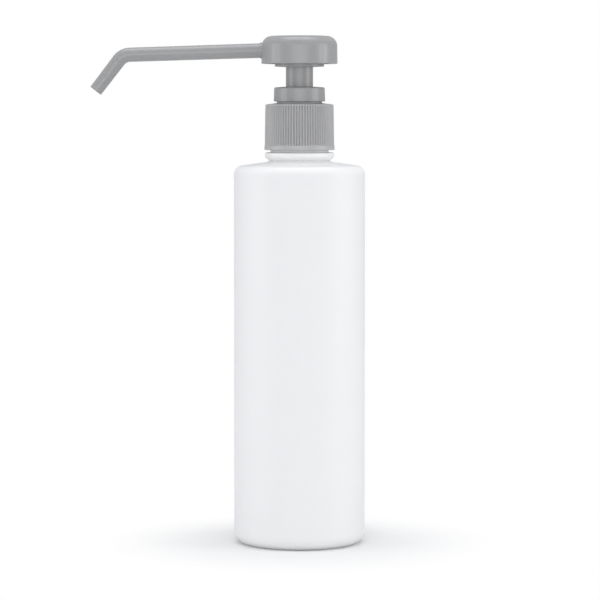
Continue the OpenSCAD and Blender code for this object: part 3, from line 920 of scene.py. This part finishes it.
@dataclass
class Nozzle:
    """The long nozzle: a straight drooping tube, a bend and a leg."""

    root_d: float = 7.0
    bend_d: float = 6.8
    leg_d: float = 6.68
    tip_d: float = 6.4
    bore_d: float = 4.4
    droop: float = 1.8
    leg_slope: float = 52.4
    bend_r: float = 6.9
    reach: float = 84.2
    leg: float = 21.5
    rise: float = 6.85
    press_depth: float = 9.0
    head_r: float = Plunger.head_r
    foot_z: float = 230.075
    boss_r: float = 4.7
    boss_back: float = 3.0
    boss_end: float = 1.6
    rim_r: float = 3.85
    rim_out: float = 0.7

    @property
    def turn(self) -> float:
        """Angle of the bend, in radians."""
        return math.radians(self.leg_slope - self.droop)

    @property
    def bend_start(self) -> float:
        """Length along the tube's axis where the bend starts."""
        return self.reach / math.cos(math.radians(self.droop)) - self.bend_r * math.tan(self.turn / 2)

    @property
    def leg_start(self) -> float:
        """Length along the tube's axis where the leg starts."""
        return self.bend_start + self.bend_r * self.turn

    @property
    def tip(self) -> float:
        """Length along the tube's axis to the tip."""
        return self.leg_start + self.leg - self.bend_r * math.tan(self.turn / 2)

    def axis(self, s: np.ndarray) -> Frames:
        """The tube's axis: a line, then an arc of radius bend_r, then a line, in the plane where Y is 0.

        Args:
            s: Lengths along the axis from the pump's own axis.

        Returns:
            The places, and two directions across the tube: one in the plane of the bend, and Y.
        """
        bent = np.clip(s - self.bend_start, 0, self.bend_r * self.turn)
        angle = bent / self.bend_r
        before, after = np.minimum(s, self.bend_start), np.maximum(s - self.leg_start, 0)
        along = before + self.bend_r * np.sin(angle) + after * np.cos(angle)
        down = self.bend_r * (1 - np.cos(angle)) + after * np.sin(angle)
        droop = math.radians(self.droop)
        x = -along * math.cos(droop) + down * math.sin(droop)
        z = self.foot_z + self.rise - along * math.sin(droop) - down * math.cos(droop)
        zero = np.zeros_like(s)
        slope = droop + angle
        across = np.stack([-np.sin(slope), zero, np.cos(slope)], -1)
        return np.stack([x, zero, z], -1), across, np.stack([zero, np.ones_like(s), zero], -1)

    def tube(self) -> Patch:
        """The tube's wall, with a fine step where the leg starts."""
        start = self.head_r - self.press_depth + PRESS_GAP
        bend = np.linspace(self.bend_start, self.leg_start, 15)
        outer = [(self.bend_d / 2, s, 0.0) for s in bend]
        inner = [(self.bore_d / 2, s, 0.0) for s in bend[::-1]]
        along = np.linspace(self.head_r + 1, self.bend_start, 9)[1:-1]
        width = np.interp(along, [self.head_r, self.bend_start], [self.root_d / 2, self.bend_d / 2])
        straight = [(float(w), float(s), 0.0) for w, s in zip(width, along)]
        return revolved(rounded(
            [(self.bore_d / 2, start, 0.2), (self.root_d / 2, start, 0.2), (self.root_d / 2, self.head_r + 1, 0),
             *straight, *outer, (self.leg_d / 2, self.leg_start + 0.08, 0.0), (self.tip_d / 2, self.tip, 0.18),
             (self.bore_d / 2, self.tip, 0.15), *inner],
        ), 64, axis=self.axis)

    def socket(self) -> Patch:
        """The head's boss that holds the nozzle, with a rim that stands out of the head's side."""
        bore = self.root_d / 2 + PRESS_GAP
        start = self.head_r - self.press_depth - self.boss_back
        step = self.head_r - self.boss_end
        return revolved(rounded(
            [(bore, start, 0), (self.boss_r, start, 0), (self.boss_r, step, 0), (self.rim_r, step, 0),
             (self.rim_r, self.head_r + self.rim_out, 0.3), (bore, self.head_r + self.rim_out, 0.08)],
        ), 96, axis=self.axis)

    def build(self, finishes: Finishes) -> None:
        """Makes the nozzle."""
        make_piece("bent_nozzle", [self.tube()], Body.PLUNGER, finishes.pump, "nozzle")


@dataclass
class Valves:
    """The moving inner pieces: piston, spring and ball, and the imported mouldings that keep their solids."""

    wire_d: float = 0.9
    coil_d: float = 10.2
    free_turns: float = 7.0
    stroke: float = 9.4
    piston_r: float = 7.42
    piston_bore: float = 3.68
    relief_r: float = 4.5
    sleeve_r: float = 5.2
    ring_rise: float = 0.85
    ring_h: float = 6.0
    lip_w: float = 0.9

    def piston(self) -> Patch:
        """The piston: a sleeve, a web and a ring with two soft lips."""
        foot, top = heights("piston")
        ring, height, lip = foot + self.ring_rise, self.ring_h, self.lip_w
        web = ring + height / 2
        outer = self.piston_r
        return revolved(rounded(
            [(self.relief_r, foot, 0.1), (self.sleeve_r, foot, 0.1), (self.sleeve_r, web - 0.7, 0.2),
             (outer - lip, web - 0.7, 0.2), (outer - lip / 2, ring, 0.1), (outer, ring, 0.08),
             (outer, ring + 1, 0.1), (outer - 0.25, ring + 1.4, 0.1), (outer - 0.25, ring + height - 1.4, 0.1),
             (outer, ring + height - 1, 0.1), (outer, ring + height, 0.08), (outer - lip / 2, ring + height, 0.1),
             (outer - lip, web + 0.7, 0.2), (self.sleeve_r, web + 0.7, 0.2),
             (self.sleeve_r, top - PRESS_GAP, 0.15), (self.piston_bore, top - PRESS_GAP, 0.15),
             (self.piston_bore, foot + 3.0, 0.1), (self.relief_r, foot + 2.4, 0.1)],
        ), 96)

    def coil(self) -> Patch:
        """The spring's wire, a circle carried along a helix whose pitch closes up at both ends."""
        foot, top = heights("spring")
        turns = self.free_turns + 2
        around = np.linspace(0, FULL_TURN, 13)[:-1]
        circle = np.column_stack([np.cos(around), np.sin(around)]) * self.wire_d / 2
        first, last = foot + self.wire_d / 2, top - self.wire_d / 2

        def height(t: np.ndarray) -> np.ndarray:
            """Height along the coil: one wire's rise in each end turn, and an even rise between them."""
            levels = [first, first + self.wire_d, last - self.wire_d, last]
            return np.interp(t, [0, 1, turns - 1, turns], levels)

        def section(t: np.ndarray) -> np.ndarray:
            """The wire's round section at each turn."""
            return np.broadcast_to(circle, (len(t), *circle.shape))

        return helix(self.coil_d / 2, height, section, turns, 48)

    def ball(self) -> Patch:
        """The ball: a half circle turned about the axis."""
        low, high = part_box("suction_ball")
        radius = (high.z - low.z) / 2 / MM
        half = arc((0, (high.z + low.z) / 2 / MM), radius, -90, 90, 32)
        half[[0, -1], 0] = 0.0
        return revolved(half, 64)

    def build(self, finishes: Finishes) -> None:
        """Makes the moving pieces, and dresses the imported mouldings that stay."""
        make_piece("lipped_piston", [self.piston()], Body.PISTON, finishes.soft, "piston")
        make_piece("rolled_ball", [self.ball()], Body.BALL, finishes.steel, "suction_ball")
        coil = make_piece("coil_spring", [self.coil()], Body.SPRING, finishes.steel, "spring")
        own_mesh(coil)
        for node in ("pump_housing", "plunger_rod", "ball_retainer"):
            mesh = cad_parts[node].data
            mesh.materials.clear()
            mesh.materials.append(finishes.natural)
            LOG.info("%s keeps its packed solid", node)


# The studio


@dataclass(frozen=True)
class Softbox:
    """A rectangular lamp that faces the object.

    Attributes:
        name: Its name.
        place: Its place in millimetres.
        size: Its width and height in millimetres.
        power: Its power in watts.
    """

    name: str
    place: tuple[float, float, float]
    size: tuple[float, float]
    power: float

    def build(self, middle: float) -> None:
        """Adds the lamp, turned to the point on the object's axis at the given height in millimetres."""
        data = bpy.data.lights.new(self.name, "AREA")
        data.shape = "RECTANGLE"
        data.size, data.size_y = self.size[0] * MM, self.size[1] * MM
        data.energy = self.power
        lamp = bpy.data.objects.new(self.name, data)
        lamp.location = Vector(self.place) * MM
        aim = Vector((0, 0, middle * MM)) - lamp.location
        lamp.rotation_euler = aim.to_track_quat("-Z", "Y").to_euler()
        bpy.context.scene.collection.objects.link(lamp)


@dataclass
class Studio:
    """The floor, the lights and the camera."""

    camera_distance: float = 1316.4
    camera_height: float = 208.5
    camera_side: float = 0.25
    tilt: float = 3.973
    lens: float = 164.9
    sensor: float = 36.0
    floor_size: float = 6000.0
    shade_near: float = 36.0
    shade_far: float = 100.0
    world_light: float = 0.57
    middle: float = 130.0
    lamps: tuple[Softbox, ...] = (
        Softbox("left_front_strip", (-940, -400, 240), (110, 600), 0.95),
        Softbox("left_side_strip", (-1000, -90, 240), (110, 600), 1.15),
        Softbox("right_front_strip", (960, -400, 240), (110, 600), 1.25),
        Softbox("right_side_strip", (1000, -90, 240), (110, 600), 1.4),
        Softbox("top_softbox", (0, 0, 1100), (900, 600), 5.0),
        Softbox("front_wall", (0, -1900, 600), (2600, 1300), 4.5),
        Softbox("front_softbox", (0, -1480, 230), (1100, 460), 3.3),
    )

    def floor(self) -> None:
        """Makes the floor: pale paper that keeps the object's shadow, and plain white away from it."""
        material, tree, where = new_material("matt_white_paper")
        fibre = add_node(tree, "TexNoise", {"Vector": where, "Scale": 900.0, "Detail": 2.0})
        bump = add_node(tree, "Bump", {"Height": fibre, "Distance": 0.02 * MM, "Strength": 0.5})
        paper = add_node(tree, "BsdfDiffuse", {"Color": linear("#ECECEC"), "Roughness": 1.0, "Normal": bump})
        white = add_node(tree, "Emission", {"Color": (1, 1, 1, 1), "Strength": 1.0})
        distance = add_node(tree, "VectorMath", {0: where}, operation="LENGTH").outputs["Value"]
        reach = {"Value": distance, "From Min": self.shade_near * MM, "From Max": self.shade_far * MM}
        away = add_node(tree, "MapRange", reach, interpolation_type="SMOOTHSTEP")
        seen = add_node(tree, "MixShader", {0: away, 1: paper, 2: white})
        path = add_node(tree, "LightPath")
        mix = add_node(tree, "MixShader", {0: path.outputs["Is Camera Ray"], 1: paper, 2: seen})
        add_node(tree, "OutputMaterial", {"Surface": mix})
        half = self.floor_size * MM / 2
        mesh = bpy.data.meshes.new("floor")
        mesh.from_pydata([(-half, -half, 0), (half, -half, 0), (half, half, 0), (-half, half, 0)], [], [(0, 1, 2, 3)])
        mesh.materials.append(material)
        floor = bpy.data.objects.new("floor", mesh)
        bpy.context.scene.collection.objects.link(floor)

    def world(self) -> None:
        """Makes the surroundings: white to the camera, and a soft even light on the object."""
        world = bpy.data.worlds.new("studio")
        bpy.context.scene.world = world
        world.use_nodes = True
        tree = world.node_tree
        tree.nodes.clear()
        path = add_node(tree, "LightPath")
        light = add_node(tree, "Background", {"Color": linear("#F8FAFF"), "Strength": self.world_light})
        backdrop = add_node(tree, "Background", {"Color": (1, 1, 1, 1), "Strength": 1.0})
        mix = add_node(tree, "MixShader", {0: path.outputs["Is Camera Ray"], 1: light, 2: backdrop})
        add_node(tree, "OutputWorld", {"Surface": mix})

    def camera(self) -> None:
        """Adds the camera in front of the object, a little above its middle."""
        data = bpy.data.cameras.new("camera")
        data.lens = self.lens
        data.sensor_width = self.sensor
        data.clip_end = 100.0
        camera = bpy.data.objects.new("camera", data)
        camera.location = Vector((self.camera_side, -self.camera_distance, self.camera_height)) * MM
        camera.rotation_euler = (math.radians(90 - self.tilt), 0, 0)
        bpy.context.scene.collection.objects.link(camera)
        bpy.context.scene.camera = camera

    def build(self) -> None:
        """Makes the whole studio."""
        self.camera()
        self.world()
        self.floor()
        for lamp in self.lamps:
            lamp.build(self.middle)
        bpy.context.scene.view_settings.view_transform = "Standard"


def main() -> None:
    logging.basicConfig(level=logging.INFO, format="%(message)s")
    Studio().build()
    finishes = Finishes.make()
    nozzle = Nozzle()
    Bottle().build(finishes)
    Closure().build(finishes)
    PumpBody().build(finishes)
    Plunger().build(nozzle, finishes)
    nozzle.build(finishes)
    Valves().build(finishes)


if __name__ == "__main__":
    main()
